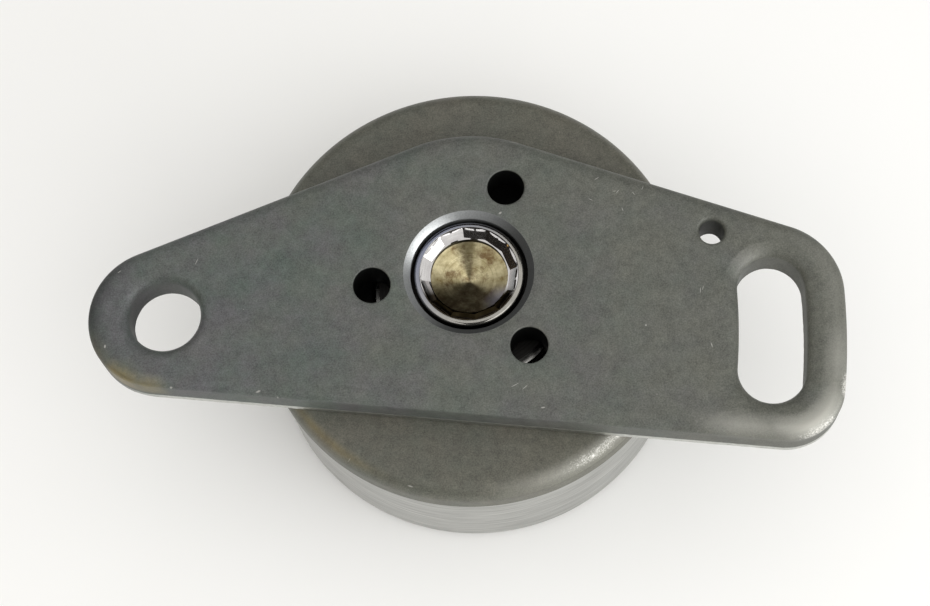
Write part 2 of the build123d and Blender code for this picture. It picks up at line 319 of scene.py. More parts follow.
# %% Sizes of the plate
PIVOT = np.array([-42.8, 0.0])
PIVOT_END = PIVOT - [0.6, 0.15]  # centre of the rounded end, a little beyond the hole
PIVOT_END_RADIUS, HUB_BOSS_RADIUS, LOWER_OFFSET = 10.1, 20.9, 20.15
END_RADIUS, UPPER_CORNER, LOWER_CORNER = 94.2, 10.3, 8.0
UPPER_NORMAL = 63.0  # bearing of the upper right edge's outward normal
END_DISTANCE = np.linalg.norm(PIVOT_END)
END_TILT = math.degrees(math.atan2(-PIVOT_END[1], -PIVOT_END[0]))
LEFT_LEAN = math.degrees(math.asin((HUB_BOSS_RADIUS - PIVOT_END_RADIUS) / END_DISTANCE))
LOWER_LEAN = math.degrees(math.asin((LOWER_OFFSET - PIVOT_END_RADIUS) / END_DISTANCE))
LEFT_NORMAL, LOWER_NORMAL = 90 + END_TILT + LEFT_LEAN, 270 + END_TILT - LOWER_LEAN
SLOT_DISTANCE, SLOT_HALF, SLOT_FIRST, SLOT_LAST = 84.2, 4.65, -5.6, -13.6
PIVOT_RADIUS, SPRING_RADIUS, SPRING_ALONG, SPRING_INSET = 5.0, 1.75, 30.05, 4.4
VENT_RADIUS, VENT_CIRCLE, VENT_BEARINGS = 2.6, 13.6, (60, 180, 300)
HUB_BORE, HUB_CHAMFER = 8.2, 0.9
SPACING = 0.4  # mm between points along a rim
spring_hole = (HUB_BOSS_RADIUS - SPRING_INSET) * unit(UPPER_NORMAL)
spring_hole += SPRING_ALONG * unit(UPPER_NORMAL - 90)
print("spring hole at", np.round(spring_hole, 2), "mm")


# %% Loops: the outline and the holes
def corner(edge_normal, edge_offset, radius, side):
    """Centre and bearing of the arc that rounds a straight edge into the plate's end.
    The centre is radius inside both, so its distance from the pivot and its height
    along the edge's normal are known, and an arc cosine gives its bearing."""
    reach = END_RADIUS - radius
    height = edge_offset - radius - PIVOT @ unit(edge_normal)
    bearing = edge_normal + side * math.degrees(math.acos(height / reach))
    return PIVOT + reach * unit(bearing), bearing


def bow(centre, radius, first, last):
    """Points of an arc, evenly spaced, with their unit spokes: centre + radius * spoke."""
    count = max(int(abs(math.radians(last - first)) * radius / SPACING), 4)
    angle = np.radians(np.linspace(first, last, count + 1))
    spoke = np.stack([np.cos(angle), np.sin(angle)], axis=1)
    return np.asarray(centre) + radius * spoke, spoke


def hole(centre, radius):
    """A whole circle of points with their spokes, the last point not repeated."""
    points, spokes = bow(centre, radius, 0, 360)
    return points[:-1], spokes[:-1]


def joined(arcs):
    """One closed loop of arcs with straight runs between them, and its spokes."""
    points, spokes = [], []
    bows = [bow(*arc) for arc in arcs]
    for k, (arc_points, arc_spokes) in enumerate(bows):
        start, end = arc_points[-1], bows[(k + 1) % len(bows)][0][0]
        count = int(np.linalg.norm(end - start) / SPACING)
        share = np.linspace(0, 1, count + 1)[1:-1, None] if count > 1 else np.zeros((0, 1))
        keep = len(arc_points) if count > 0 else -1
        points += [arc_points[:keep], start + share * (end - start)]
        spokes += [arc_spokes[:keep], np.repeat(arc_spokes[-1:], len(share), axis=0)]
    return np.concatenate(points), np.concatenate(spokes)


upper_centre, upper_bearing = corner(UPPER_NORMAL, HUB_BOSS_RADIUS, UPPER_CORNER, -1)
lower_centre, lower_bearing = corner(LOWER_NORMAL, LOWER_OFFSET, LOWER_CORNER, 1)
outline, outward = joined([
    (PIVOT, END_RADIUS, lower_bearing - 360, upper_bearing),
    (upper_centre, UPPER_CORNER, upper_bearing, UPPER_NORMAL),
    ((0, 0), HUB_BOSS_RADIUS, UPPER_NORMAL, LEFT_NORMAL),
    (PIVOT_END, PIVOT_END_RADIUS, LEFT_NORMAL, LOWER_NORMAL),
    (lower_centre, LOWER_CORNER, LOWER_NORMAL, lower_bearing),
])
slot_loop, slot_spokes = joined([
    (PIVOT, SLOT_DISTANCE + SLOT_HALF, SLOT_LAST, SLOT_FIRST),
    (PIVOT + SLOT_DISTANCE * unit(SLOT_FIRST), SLOT_HALF, SLOT_FIRST, SLOT_FIRST + 180),
    (PIVOT, SLOT_DISTANCE - SLOT_HALF, SLOT_FIRST, SLOT_LAST),
    (PIVOT + SLOT_DISTANCE * unit(SLOT_LAST), SLOT_HALF, SLOT_LAST - 180, SLOT_LAST),
])
# on the slot's inner side the steel lies towards the pivot
pivot_distance = np.linalg.norm(slot_loop - PIVOT, axis=1)
inner_side = np.abs(pivot_distance - (SLOT_DISTANCE - SLOT_HALF)) < 1e-6
flip = inner_side & (np.sum(slot_spokes * (slot_loop - PIVOT), axis=1) > 0)
slot_spokes = np.where(flip[:, None], -slot_spokes, slot_spokes)
print(f"outline of {len(outline)} points, slot of {len(slot_loop)}")


# %% Rim profiles
def rolled_rim(width, depth, torn):
    """Rows of a stamped rim: distance into the steel, depth below the top, and how far
    each row is torn, rolled or darkened by painted shade. The roll is a quarter of an
    ellipse, width * (1 - sin a) in and depth * (1 - cos a) down, and below it stands a
    straight wall whose last part, torn mm high, ends in a small round."""
    a = np.linspace(0, np.pi / 2, 13)
    tear_level = PLATE_THICK - torn
    wall = np.append(np.linspace(depth, tear_level - 0.12, 4)[1:], tear_level - 0.05)
    strip = np.linspace(0, 1, 7)[1:]
    inset = [width * (1 - np.sin(a)), wall * 0, strip * 0, [0.07, 0.2, 0.6]]
    down = [
        depth * (1 - np.cos(a)), wall, tear_level + strip * (torn - 0.2),
        PLATE_THICK - np.array([0.06, 0, 0]),
    ]
    tear = [a * 0, wall * 0, strip * 0 + 1, [0.6, 0, 0]]
    roll = [0.35 + 0.65 * np.sin(a), wall * 0, strip * 0, [0, 0, 0]]
    oil = [np.clip(2 * (1 - np.cos(a)) - 0.9, 0, 1), wall * 0 + 1, strip * 0 + 1, [1, 0, 0]]
    return [np.concatenate(part) for part in (inset, down, tear, roll, oil)]


def cut_rim(chamfer):
    """Rows of a hole that was bored after stamping: a cone, a straight wall and a
    small edge at the foot. Nothing is torn or rolled, and only the wall gets painted shade."""
    inset = np.array([chamfer + 0.03, chamfer, 0.03, 0, 0, 0, 0.1, 0.5])
    down = np.array([0, 0.015, chamfer - 0.03, chamfer, 3, *[PLATE_THICK] * 3])
    down[5] -= 0.1
    return inset, down, np.zeros(8), np.zeros(8), (down > chamfer + 0.5) * 1.0


# each rim is a loop, its arrows into the steel, its rows and the share of painted shade on its wall
rims = [
    (outline, -outward, rolled_rim(width=1.9, depth=1.15, torn=1.4), 0.25),
    (slot_loop, slot_spokes, rolled_rim(width=2.4, depth=1.5, torn=1.2), 0.15),
    (*hole(PIVOT, PIVOT_RADIUS), rolled_rim(width=1.7, depth=1.7, torn=1.2), 0.4),
    (*hole(spring_hole, SPRING_RADIUS), rolled_rim(width=0.57, depth=0.9, torn=1.4), 0.7),
    *[
        (*hole(VENT_CIRCLE * unit(bearing), VENT_RADIUS),
         rolled_rim(width=0.28, depth=0.25, torn=0.9), 1)
        for bearing in VENT_BEARINGS
    ],
    (*hole((0, 0), HUB_BORE), cut_rim(HUB_CHAMFER), 1),
]
print("rims:", len(rims), "rows in a rolled rim:", len(rims[0][2][0]))

# %% [markdown]
# ## The plate: filling the flats
#
# Between the rims the plate is flat, so a few large faces would do for the shape.
# But wear fades in from the edges, and a point attribute needs points to live on.
# So the flats get a honeycomb of points one millimetre apart, and a Delaunay
# triangulation ties them to the innermost row of each rim.

# %% Fill between loops
COMB_X, COMB_Y, KEEP_OFF = 1.0, 0.87, 0.6  # mm: the honeycomb, and its distance from a rim


def inside(points, loop):
    """Which points lie within a closed loop: a ray to the right crosses it an odd
    number of times."""
    a, b = loop, np.roll(loop, -1, axis=0)
    x, y = points[:, :1], points[:, 1:]
    straddles = (a[:, 1] > y) != (b[:, 1] > y)
    rise = np.where(a[:, 1] == b[:, 1], 1, b[:, 1] - a[:, 1])
    crossing = a[:, 0] + (y - a[:, 1]) / rise * (b[:, 0] - a[:, 0])
    return (straddles & (x < crossing)).sum(axis=1) % 2 == 1


def distance_to(points, loop):
    """How far each point lies from the nearest point of a loop: the least of the
    distances to all of them, worked out in forty parts to spare memory."""
    return np.concatenate([
        np.linalg.norm(part[:, None] - loop, axis=2).min(axis=1)
        for part in np.array_split(points, 40)
    ])


def flat_between(loops):
    """Triangles that fill the first loop less the others, through a honeycomb of
    extra points that keeps off every loop."""
    ring = np.concatenate(loops)
    low, high = ring.min(axis=0), ring.max(axis=0)
    x, y = np.meshgrid(np.arange(0, high[0] - low[0], COMB_X), np.arange(0, high[1] - low[1], COMB_Y))
    stagger = 0.5 * (np.arange(len(y)) % 2)[:, None]
    comb = np.stack([low[0] + x + stagger, low[1] + y], axis=-1).reshape(-1, 2)
    comb = comb[inside(comb, loops[0])]
    for loop in loops[1:]:
        comb = comb[~inside(comb, loop)]
    comb = comb[distance_to(comb, ring) > KEEP_OFF]
    edges, start = [], 0
    for loop in loops:
        numbers = start + np.arange(len(loop))
        edges += np.stack([numbers, np.roll(numbers, -1)], axis=1).tolist()
        start += len(loop)
    every = np.concatenate([ring, comb])
    _, _, faces, source, _, _ = delaunay_2d_cdt(every.tolist(), edges, [], 0, 1e-7)
    faces = np.array([min(numbers) for numbers in source])[np.array(faces)]
    a, b, c = every[faces[:, 0]], every[faces[:, 1]], every[faces[:, 2]]
    one, two, middle = b - a, c - a, every[faces].mean(axis=1)
    doubled_area = np.abs(one[:, 0] * two[:, 1] - one[:, 1] * two[:, 0])
    keep = inside(middle, loops[0]) & (doubled_area > 1e-4)
    for loop in loops[1:]:
        keep &= ~inside(middle, loop)
    return comb, faces[keep]


# %% Carry the profiles round, fill and build
RAGGED, RAGGED_MOST = 0.025, 0.06  # mm, how rough the torn strip is
PLATE_CRISP = 32  # degrees
shake = np.random.default_rng(7)
points, faces, tear, rolls, oil, total = [], [], [], [], [], 0
flats = {0: (PLATE_TOP, [], []), -1: (PLATE_BOTTOM, [], [])}  # each rim's first and last row
for loop, into, (inset, down, torn, roll, oily), oil_share in rims:
    count, rows = len(loop), len(inset)
    ragged = shake.normal(0, RAGGED, (count, rows)) * torn
    ragged[:, -3:] = 0  # the rows of the foot stay even
    # neighbours are added up, and 1.4 keeps their spread as it was
    ragged = np.clip((ragged + np.roll(ragged, 1, axis=0)) / 1.4, -RAGGED_MOST, RAGGED_MOST)
    flat = loop[:, None] + into[:, None] * np.maximum(inset + ragged, 0)[:, :, None]
    level = np.broadcast_to(PLATE_TOP - down, (count, rows))
    points.append(np.concatenate([flat, level[:, :, None]], axis=2).reshape(-1, 3))
    torn = torn * (loop is outline)  # only the outer wall shows it bright
    # painted shade on the rims' walls, kept off the torn strip
    for values, of_row in ((tear, torn), (rolls, roll), (oil, oily * oil_share * (1 - torn))):
        values.append(np.tile(of_row, count))
    grid = total + np.arange(count * rows).reshape(count, rows)
    beside = np.roll(grid, -1, axis=0)
    quads = np.stack([grid[:, :-1], grid[:, 1:], beside[:, 1:], beside[:, :-1]], axis=-1)
    faces += quads.reshape(-1, 4).tolist()
    for row, (_, loops, numbers) in flats.items():
        loops.append(flat[:, row])
        numbers.append(grid[:, row])
    total += count * rows

for level, loops, numbers in flats.values():
    comb, fill = flat_between(loops)
    lookup = np.concatenate([*numbers, total + np.arange(len(comb))])
    faces += lookup[fill].tolist()
    points.append(np.column_stack([comb, np.full(len(comb), level)]))
    for values in (tear, rolls, oil):
        values.append(np.zeros(len(comb)))
    total += len(comb)

plate_points = np.concatenate(points)
plate_tear, plate_roll, plate_oil = [np.concatenate(values) for values in (tear, rolls, oil)]
tensioner_plate = make_piece("tensioner_plate", plate_points, faces, PLATE_CRISP)

# %% [markdown]
# ## Where the plate is worn, and where sheen and shade are painted
#
# Phosphate is thin, and it goes first where things rub: the corner below the slot is
# down to bright steel, and the pivot's end has a bronze tint where oil was baked on.
# A painted sheen joins the rubbed corner and lies along the right edge and on the
# slot's shoulder, where the window's highlight falls, and painted shade darkens the
# holes' walls, the bored cone and the rim of the pivot's end.
# Such a mark belongs to a place on the steel, so it is a number stored at the points,
# which fades with the distance from a spot, and the material only reads it.

# %% How wear fades
# each spot is x, y, radius in mm and strength
BRIGHT_SPOTS = [(49.2, -23.6, 4.4, 1.0), (43.0, -29.2, 5.0, 0.6)]
# spots of rubbed steel that also carry a painted sheen where the window's highlight falls, on the corner
# and along the right edge
BURNISHED_SPOTS = [
    (43.0, -27.5, 8.5, 1.0), (48.5, -20.0, 8.0, 0.35), (34.0, -27.5, 8.0, 0.4),
    (50.5, -8.0, 14.0, 0.12),
]
BRONZE_SPOTS = [(-49.3, -7.8, 4.0, 1.3), (-46.0, -10.0, 3.4, 0.8), (-52.4, -4.0, 4.2, 0.35)]
# a painted highlight on the slot's shoulder, where its roll catches the window
SLOT_SHOULDER = [(38.4, -4.0, 4.4, 0.13)]
# the second of these is painted shade on the rim of the pivot's end, which faces away from the window
CLEAN_END, OILY_END = [(-50.5, -6.0, 9.0, 0.85)], [(-52.0, 3.0, 13.0, 0.7)]


def fading(points, spots):
    """The strongest of some spots. Each is its strength at its middle, with a smooth
    fall to nothing at its radius: (1 - (d/r)^2)^2."""
    found = []
    for x, y, radius, strength in spots:
        share = np.clip(np.linalg.norm(points - np.array([x, y]), axis=1) / radius, 0, 1)
        found.append(strength * (1 - share ** 2) ** 2)
    return np.maximum.reduce(found)


def sector(bearing, middle, half):
    """One in the middle of a sector, falling to nothing at half its width, as a cosine."""
    share = np.clip(np.abs((bearing - middle + 180) % 360 - 180) / half, 0, 1)
    return 0.5 + 0.5 * np.cos(np.pi * share)


# %% Wear, painted sheen and painted shade stored on the plate
ROLL_REACH = 2.2  # mm, how far in from the outline the roll wears
plan, drop = plate_points[:, :2], PLATE_TOP - plate_points[:, 2]
edge_distance = distance_to(plan, outline)
near_edge = np.clip(1 - edge_distance / ROLL_REACH, 0, 1) * (drop < 4)
beside_edge = np.clip(1 - np.abs(edge_distance - 1.5) / 2.0, 0, 1) * (drop < 2)
on_shoulder = (drop > 0.05) * (drop < 1.2) * (edge_distance > 3)

# rubbed steel at the corner, with a painted sheen where the window's highlight falls; the slot's
# shoulder gets only a painted highlight
burnished = fading(plan, BURNISHED_SPOTS)
worn = np.maximum(fading(plan, BRIGHT_SPOTS), 0.85 * burnished) * (drop < 1.6) * near_edge ** 0.5
hub_distance, hub_bearing, _ = polar(plate_points)
# painted shade: the bored cone is darkened all round except its upper left, whose slope faces the window
bored = (hub_distance < HUB_BORE + HUB_CHAMFER + 0.02) & (drop > 0.01) & (drop < HUB_CHAMFER + 0.05)
oily_side = 0.92 * bored * (1 - sector(hub_bearing, 138, 115))
# painted shade on the rim of the pivot's end, which faces away from the window
oily_end = plate_roll * (edge_distance < 2) * fading(plan, OILY_END)
# stored with the wear: painted sheen on the corner and the slot's shoulder, and painted shade on the
# holes' walls, the bore and the pivot's end
store(
    tensioner_plate, torn=plate_tear * (1 - fading(plan, CLEAN_END)), worn=worn,
    burnished=np.maximum(burnished * beside_edge, fading(plan, SLOT_SHOULDER) * on_shoulder),
    bronze=fading(plan, BRONZE_SPOTS) * near_edge, bored=bored,
    oiled=np.maximum.reduce([plate_oil, oily_side, oily_end]), roll=plate_roll,
)
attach(tensioner_plate, "bracket")
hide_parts("base_plate")

# %% [markdown]
# ## The pulley and the stud: turned pieces
#
# A lathe makes both, so each is a profile of radius and height carried round the
# axis. Blender's Screw or Spin would do it too, but a grid worked out with numpy
# knows which row each point came from, so the finish can change from row to row.
#
# The stud's socket isn't round. Its rows use another rule for the radius: for a
# polygon with apothem a, the radius at an angle t from the middle of a side is
# a / cos(t). Rows of that kind lie flat on the facets, and their corners stay true.


# %% Profiles carried round the axis
def turned(name, radius, level, segments, closed, crisp):
    """A surface of rows and spokes, (r cos a, r sin a, z). radius has a number for
    each row, or for each row and spoke. A closed profile joins its last row to the
    first, and an open one ends in a pole at each end."""
    angle = 2 * np.pi * np.arange(segments) / segments
    radius = np.asarray(radius, float)
    radius = radius if radius.ndim == 2 else np.repeat(radius[:, None], segments, axis=1)
    level = np.broadcast_to(np.asarray(level, float)[:, None], radius.shape)
    rings = np.stack([radius * np.cos(angle), radius * np.sin(angle), level], axis=-1)
    number = np.arange(radius.size).reshape(radius.shape)
    below = np.roll(number, -1, axis=0) if closed else number[1:]
    here = number if closed else number[:-1]
    quads = np.stack([here, np.roll(here, -1, axis=1), np.roll(below, -1, axis=1), below], axis=-1)
    points, faces = rings.reshape(-1, 3), quads.reshape(-1, 4).tolist()
    if not closed:
        poles = [[*rings[end, :, :2].mean(axis=0), level[end, 0]] for end in (0, -1)]
        first, last, pole = number[0], number[-1], np.full(segments, len(points))
        faces += np.stack([pole, np.roll(first, -1), first], axis=-1).tolist()
        faces += np.stack([pole + 1, last, np.roll(last, -1)], axis=-1).tolist()
        points = np.concatenate([points, poles])
    return make_piece(name, points, faces, crisp), points


def quarter(centre_r, centre_z, radius, first, last, steps):
    """Rows round a corner: centre + radius * (cos, sin) from one angle to the next."""
    a = np.radians(np.linspace(first, last, steps + 1))
    return centre_r + radius * np.cos(a), centre_z + radius * np.sin(a)


# %% The pulley
PULLEY_SEGMENTS = 320
PULLEY_TOP, PULLEY_BOTTOM = pulley_box[1][2], pulley_box[0][2]
RIM_RADIUS, RIM_WIDTH, RIM_STEP = pulley_box[1][0], 5.0, 0.5
EDGE_ROUND, FOOT_ROUND, BORE_EDGE, MOUTH = 2.6, 1.8, 0.15, 0.8
WEB_BORE, WEB_THICK, SHELL_BORE = 19.0, 4.25, 23.5
BELT_RADIUS, WEB_FOOT = RIM_RADIUS - RIM_STEP, PULLEY_TOP - WEB_THICK
STEP_TOP, STEP_FOOT = PULLEY_TOP - RIM_WIDTH, PULLEY_TOP - RIM_WIDTH - RIM_STEP
pulley_r, pulley_z = np.concatenate([
    np.broadcast_arrays(radius, level) for radius, level in (
        (WEB_BORE, [WEB_FOOT + BORE_EDGE, PULLEY_TOP - BORE_EDGE]),
        (np.linspace(WEB_BORE + BORE_EDGE, RIM_RADIUS - EDGE_ROUND, 11)[:-1], PULLEY_TOP),
        quarter(RIM_RADIUS - EDGE_ROUND, PULLEY_TOP - EDGE_ROUND, EDGE_ROUND, 90, 0, 18),
        (RIM_RADIUS, np.linspace(PULLEY_TOP - EDGE_ROUND, STEP_TOP, 8)[1:]),
        (BELT_RADIUS, np.linspace(STEP_FOOT, PULLEY_BOTTOM + FOOT_ROUND, 20)[:-1]),
        quarter(BELT_RADIUS - FOOT_ROUND, PULLEY_BOTTOM + FOOT_ROUND, FOOT_ROUND, 0, -90, 10),
        (SHELL_BORE + MOUTH, [PULLEY_BOTTOM]),
        (SHELL_BORE, np.linspace(PULLEY_BOTTOM + MOUTH, WEB_FOOT, 8)),
        ([WEB_BORE + BORE_EDGE, WEB_BORE], WEB_FOOT),
    )
], axis=1)
idler_pulley, pulley_points = turned(
    "idler_pulley", pulley_r, pulley_z, PULLEY_SEGMENTS, closed=True, crisp=30)

# %% Grinding and painted glints stored on the pulley
pulley_round, pulley_bearing, pulley_height = polar(pulley_points)
on_wall = (pulley_round > BELT_RADIUS - 0.35) & (pulley_height < STEP_FOOT + 0.01)
on_wall &= pulley_height > PULLEY_BOTTOM + 0.9
on_corner = np.exp(-(pulley_round - (RIM_RADIUS - 1.0)) ** 2) * (pulley_height > PULLEY_TOP - 2)
# on the round corner the speckled bare and burnished sectors are painted highlights where the window
# glints, and the bronze sector is a painted warm glint from the left
store(
    idler_pulley, ground=on_wall, worn=0.72 * on_corner ** 0.5 * sector(pulley_bearing, -61, 40),
    burnished=0.3 * on_corner * sector(pulley_bearing, -60, 42),
    bronze=0.6 * on_corner ** 3 * sector(pulley_bearing, -140, 24), roll=on_corner,
)
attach(idler_pulley, "pulley")
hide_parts("pulley")

# %% Sizes of the hub stud
TURNED, SOCKET, CONE, LIP, NECK = range(5)  # the finishes of its rows
SIDES, STUD_SEGMENTS = 12, 384  # 32 spokes for each side of the socket
SPIGOT_RADIUS, NECK_RADIUS, NECK_ROUND, JOURNAL = 8.2, 7.7, 0.5, 10.0
MOUTH_APOTHEM, THROAT_APOTHEM, SLANT_DEPTH, POCKET_DEPTH, CONE_DEPTH = 6.55, 5.55, 1.0, 0.85, 1.9
HEAD_RADIUS, HEAD_CHAMFER, HEAD_THICK, HEAD_CENTRE = 13.0, 0.6, 3.0, 2.0
LIP_TOP, HEAD_BOTTOM = PLATE_TOP - 0.7, stud_box[0][2]
THROAT = LIP_TOP - SLANT_DEPTH
CONE_TOP, CONE_RADIUS = THROAT - POCKET_DEPTH, THROAT_APOTHEM - 0.15
CONE_TIP = CONE_TOP - CONE_DEPTH
PRESS_TOP, BEARING_BOTTOM = PLATE_BOTTOM + 3.0, HEAD_BOTTOM + HEAD_THICK
HAIR = 0.01  # mm, between two rows at one level, so that the corner between them is true
angle = 360 * np.arange(STUD_SEGMENTS) / STUD_SEGMENTS
from_side = np.radians(angle % (360 / SIDES) - 180 / SIDES)  # from the middle of the nearest side


def polygon(apothem):
    """The radius at each spoke of a regular polygon: apothem / cos(angle from a side)."""
    return apothem / np.cos(from_side)


def circle(radius):
    """The same radius at each spoke."""
    return np.full(STUD_SEGMENTS, float(radius))


print(f"lip at {LIP_TOP:.2f} mm, cone from {CONE_TOP:.2f} to {CONE_TIP:.2f} mm")

# %% The hub stud
stud_rows = [  # each row is a radius for every spoke, a height and a finish
    (circle(CONE_RADIUS * share), CONE_TOP - CONE_DEPTH * (1 - share), CONE)
    for share in np.linspace(0.06, 1, 26)
]
# the pocket's wall between cone and socket is darkened as painted shade
stud_rows += [(circle(CONE_RADIUS + 0.02), z, NECK) for z in (CONE_TOP + 0.04, THROAT - 0.04)]
for share in np.linspace(0, 1, 8):
    facet = polygon(THROAT_APOTHEM + share * (MOUTH_APOTHEM - THROAT_APOTHEM))
    stud_rows.append((facet, THROAT + share * (SLANT_DEPTH - 0.12), SOCKET))
# the fine line in the lip is darkened as painted shade
stud_rows += [  # the mouth turns from twelve sides to round, with a fine dark line in the lip
    (0.5 * polygon(MOUTH_APOTHEM + 0.1) + 0.5 * circle(6.78), LIP_TOP - 0.05, SOCKET),
    (circle(6.86), LIP_TOP - 0.06, SOCKET),
    (circle(6.93), LIP_TOP - 0.005, NECK),
    (circle(7.0), LIP_TOP, LIP),
]
neck_r, neck_z = quarter(NECK_RADIUS - NECK_ROUND, LIP_TOP - NECK_ROUND, NECK_ROUND, 90, 0, 8)
neck_z[0] = LIP_TOP
stud_rows += [(circle(r), z, LIP) for r, z in zip(neck_r, neck_z)]
# the neck in the plate's bore is darkened as painted shade down to the press fit
stud_rows += [
    (circle(r), z, NECK if z > PRESS_TOP - 2 * HAIR else TURNED)
    for r, z in [
        (NECK_RADIUS, LIP_TOP - 0.9), (NECK_RADIUS, PRESS_TOP), (SPIGOT_RADIUS, PRESS_TOP - HAIR),
        (SPIGOT_RADIUS, PLATE_BOTTOM), (JOURNAL, PLATE_BOTTOM - HAIR), (JOURNAL, BEARING_BOTTOM),
        (HEAD_RADIUS, BEARING_BOTTOM - HAIR), (HEAD_RADIUS, HEAD_BOTTOM + HEAD_CHAMFER),
        (HEAD_RADIUS - HEAD_CHAMFER, HEAD_BOTTOM),
        *[(r, HEAD_BOTTOM) for r in (10.0, 7.0, 4.0, HEAD_CENTRE)],
        (1.0, HEAD_BOTTOM + 1.0), (0.3, HEAD_BOTTOM + 1.7),
    ]
]
radii, levels, row_finish = zip(*stud_rows)
turned_stud, stud_points = turned(
    "turned_stud", np.array(radii), levels, STUD_SEGMENTS, closed=False, crisp=18)
# its two poles come last
turned_stud.data.vertices[-2].co.z = CONE_TIP * MM
turned_stud.data.vertices[-1].co.z = (HEAD_BOTTOM + HEAD_CENTRE) * MM

# %% Film and painted shade stored on the stud
stud_round, stud_bearing, stud_height = polar(stud_points)
within_cone = stud_round < CONE_RADIUS + 0.01
outer_cone = within_cone * np.clip(stud_round / CONE_RADIUS * 2.5 - 1.5, 0, 1)
on_lip = (stud_round > 6.9) & (stud_height > LIP_TOP - 0.6)
whole_cone = within_cone & (stud_height < CONE_TOP + 0.01) & (stud_height > PLATE_BOTTOM)
in_socket = ~within_cone & (stud_round < 6.9) & (stud_height > CONE_TOP)
from_near_side = np.abs((stud_bearing + 98 + 180) % 360 - 180)
film = 0.8 * outer_cone * sector(stud_bearing, -46, 34) + on_lip * sector(stud_bearing, 135, 130)
# painted shade: a dark brown on the near side of the cone and of the socket, for their reflection of the
# dark room
oil = 0.8 * whole_cone * np.clip((108 - from_near_side) / 66, 0, 1)
oil += in_socket * np.clip((75 - from_near_side) / 15, 0, 1)
store(turned_stud, film=film, oil=oil)
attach(turned_stud, "bracket")
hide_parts("hub_stud")

# %% [markdown]
# ## The dark steel: zinc phosphate
#
# Phosphating grows a skin of grey crystals on steel. They are a few hundredths of a
# millimetre across, far too fine to draw, so the grain here is drawn about 0.2 mm
# wide, just coarse enough to show. Oil in the skin gives clouds of warmer and cooler
# grey. The skin scatters light, so it isn't metallic, and rough, but where it has
# rubbed off bare steel shows, which is.
#
# One function makes the finish for the plate and for the pulley, because both went
# through the same bath. Only the wear, painted glints and painted shade that it reads differ.


# %% Patterns that the dark steel uses
def speckle(add, where, size, share):
    """Small bright dots, size millimetres across, on about share of the cells of a
    Voronoi pattern eight dots wide: 1 within the dot of a chosen cell, else 0."""
    cells = add("TexVoronoi", {"Vector": where, "Scale": 1 / (8 * size * MM)})
    chosen = add("SeparateColor", {"Color": cells.outputs["Color"]})
    picked = add("Math", {0: chosen, 1: share}, operation="LESS_THAN")
    dot = add("MapRange", {"Value": cells, 1: 0.03, 2: 0.075, 3: 1.0, 4: 0.0})
    return add("Math", {0: picked, 1: dot}, operation="MULTIPLY")


def nicks(add, where, level, places):
    """Nicks and scratches in a face at a level, each x, y, bearing, length and width.
    A Mapping node turns each into a unit disc that fades out 1.3 mm above and below
    the face, and its radius fades the mark out. The strongest of them counts."""
    strongest = 0.0
    for x, y, bearing, length, width in places:
        local = add("Mapping", {
            "Vector": where, "Location": (x * MM, y * MM, level * MM),
            "Rotation": (0, 0, math.radians(bearing)),
            "Scale": (length / 2 * MM, width / 2 * MM, 1.3 * MM),
        }, vector_type="TEXTURE")
        radius = add("VectorMath", {0: local}, operation="LENGTH")
        mark = add("MapRange", {"Value": radius, 1: 0.5, 2: 1.2, 3: 1.0, 4: 0.0})
        strongest = add("Math", {0: mark, 1: strongest}, operation="MAXIMUM")
    return strongest


# %% Phosphated steel
WEAR = ("worn", "burnished", "bronze", "torn", "bored", "oiled", "ground", "roll")


